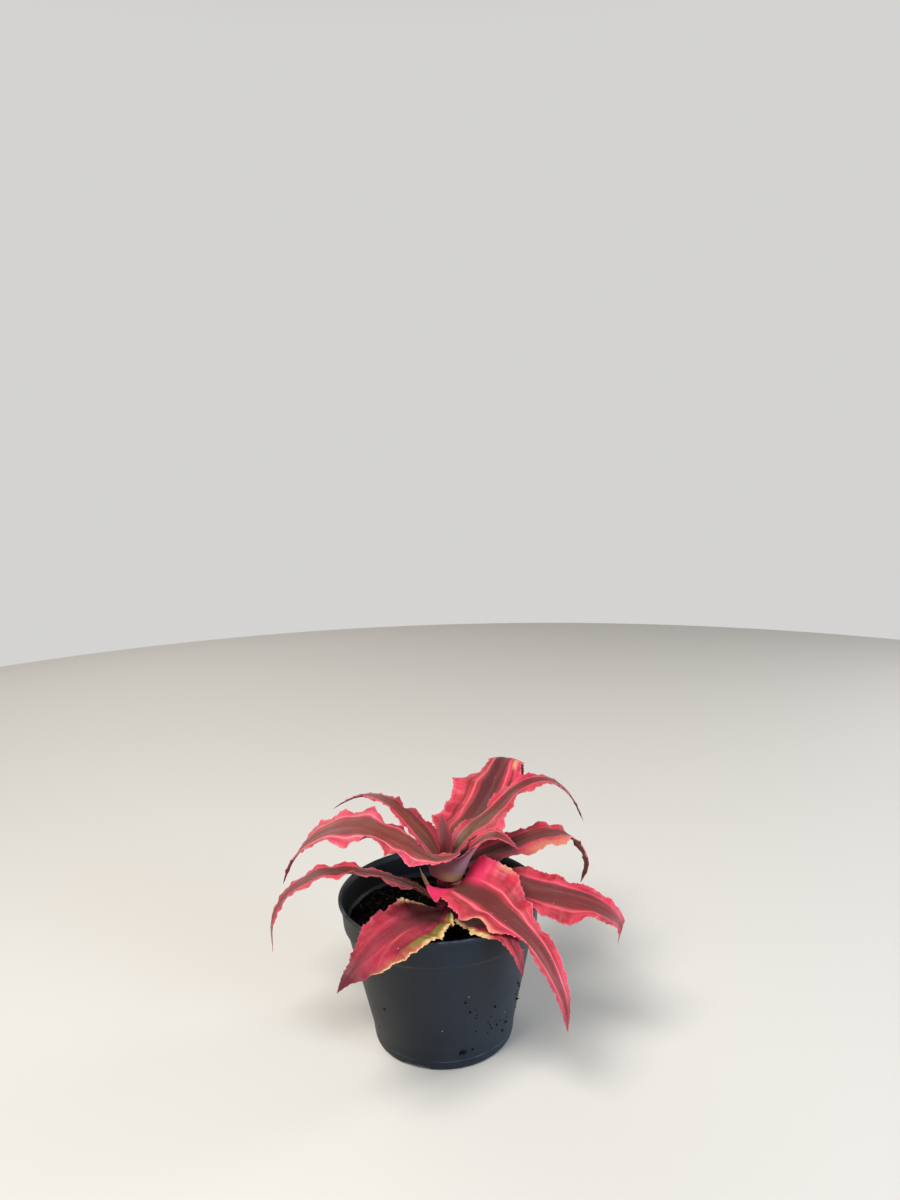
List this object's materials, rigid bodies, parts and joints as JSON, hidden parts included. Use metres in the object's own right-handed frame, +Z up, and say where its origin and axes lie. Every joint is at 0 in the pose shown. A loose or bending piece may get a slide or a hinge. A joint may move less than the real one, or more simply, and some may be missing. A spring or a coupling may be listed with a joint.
{
  "type": "earth star plant",
  "caption": "Small potted earth star plant: a rosette of long, wavy, spine-edged pink and maroon leaves in a round, dark plastic nursery pot of peat soil.",
  "frame": {"origin": "centre of the pot's flat base, on the surface that the pot stands on", "axes": "+Z up along the pot's axis; the front of the plant faces -Y, and +X is to the right seen from the front"},
  "size_m": [0.1547, 0.1473, 0.1062],
  "materials": {
    "pot_plastic": "satin",
    "peat_soil": "matte",
    "stem": "matte",
    "leaf": "satin",
    "dry_leaf": "matte"
  },
  "bodies": {
    "root": {"pot": "pot_plastic", "soil": "peat_soil", "stem": "stem", "leaf_back_tall": "leaf", "leaf_back_arching": "leaf", "leaf_right_back": "leaf", "leaf_right": "leaf", "leaf_front_right": "leaf", "leaf_front_low": "leaf", "leaf_front_left": "leaf", "leaf_left_low": "leaf", "leaf_left_high": "leaf", "leaf_left_arching": "leaf", "leaf_heart": "leaf", "leaf_centre_curl": "leaf", "dry_leaf_base": "dry_leaf"}
  },
  "joints": []
}
